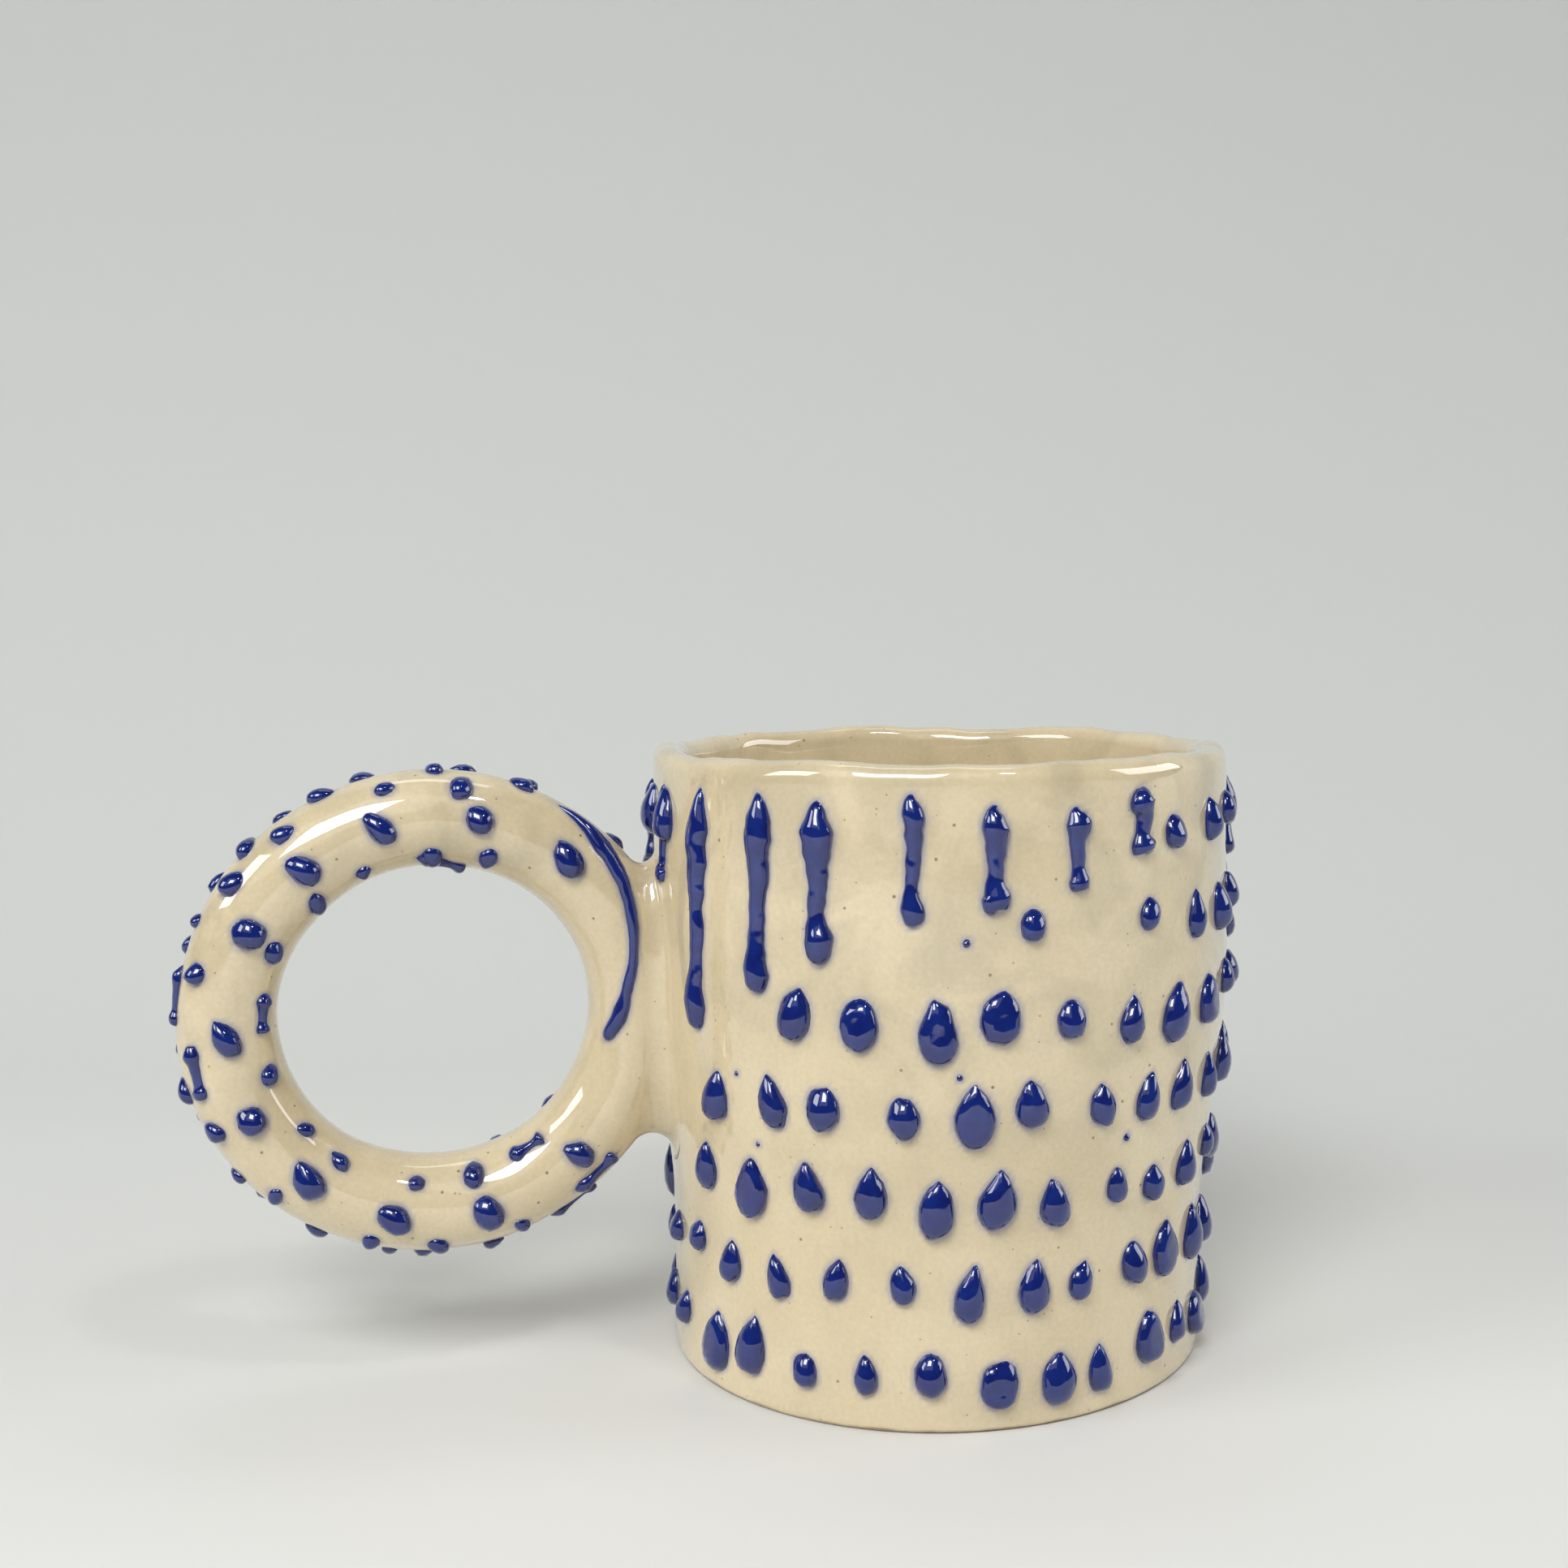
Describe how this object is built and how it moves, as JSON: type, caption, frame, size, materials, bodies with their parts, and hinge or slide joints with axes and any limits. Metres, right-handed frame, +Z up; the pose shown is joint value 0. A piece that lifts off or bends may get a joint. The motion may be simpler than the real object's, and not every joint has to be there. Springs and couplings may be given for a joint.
{
  "type": "stoneware mug",
  "caption": "Hand-built cream stoneware mug with a closed ring handle, a wavy rounded lip and raised blue drops all over the outside. It holds a hot or cold drink.",
  "frame": {"origin": "centre of the foot, on the surface the mug stands on", "axes": "+Z up through the cup's mouth, the ring handle on the -X side with its plane in XZ, the pictured front towards -Y"},
  "size_m": [0.1537, 0.0868, 0.09],
  "materials": {
    "cream_glaze": "clear gloss glaze over cream stoneware",
    "cup_base": "gloss glaze inside, wiped bare stoneware below",
    "blue_slip": "cobalt-blue slip under clear gloss glaze"
  },
  "bodies": {
    "root": {"mug_wall": "cream_glaze", "mug_floor": "cup_base", "ring_handle": "cream_glaze", "handle_joint": "cream_glaze", "drop_wall_01": "blue_slip", "drop_wall_02": "blue_slip", "drop_wall_03": "blue_slip", "drop_wall_04": "blue_slip", "drop_wall_05": "blue_slip", "drop_wall_06": "blue_slip", "drop_wall_07": "blue_slip", "drop_wall_08": "blue_slip", "drop_wall_09": "blue_slip", "drop_wall_10": "blue_slip", "drop_wall_11": "blue_slip", "drop_wall_12": "blue_slip", "drop_wall_13": "blue_slip", "drop_wall_14": "blue_slip", "drop_wall_15": "blue_slip", "drop_wall_16": "blue_slip", "drop_wall_17": "blue_slip", "drop_wall_18": "blue_slip", "drop_wall_19": "blue_slip", "drop_wall_20": "blue_slip", "drop_wall_21": "blue_slip", "drop_wall_22": "blue_slip", "drop_wall_23": "blue_slip", "drop_wall_24": "blue_slip", "drop_wall_25": "blue_slip", "drop_wall_26": "blue_slip", "drop_wall_27": "blue_slip", "drop_wall_28": "blue_slip", "drop_wall_29": "blue_slip", "drop_wall_30": "blue_slip", "drop_wall_31": "blue_slip", "drop_wall_32": "blue_slip", "drop_wall_33": "blue_slip", "drop_wall_34": "blue_slip", "drop_wall_35": "blue_slip", "drop_wall_36": "blue_slip", "run_wall_01": "blue_slip", "run_wall_02": "blue_slip", "run_wall_03": "blue_slip", "run_wall_04": "blue_slip", "run_wall_05": "blue_slip", "run_wall_06": "blue_slip", "run_wall_07": "blue_slip", "drop_ring_01": "blue_slip", "drop_ring_02": "blue_slip", "drop_ring_03": "blue_slip", "drop_ring_04": "blue_slip", "drop_ring_05": "blue_slip", "drop_ring_06": "blue_slip", "drop_ring_07": "blue_slip", "drop_ring_08": "blue_slip", "drop_ring_09": "blue_slip", "drop_ring_10": "blue_slip", "drop_ring_11": "blue_slip", "run_ring_01": "blue_slip", "run_ring_02": "blue_slip"}
  },
  "joints": []
}
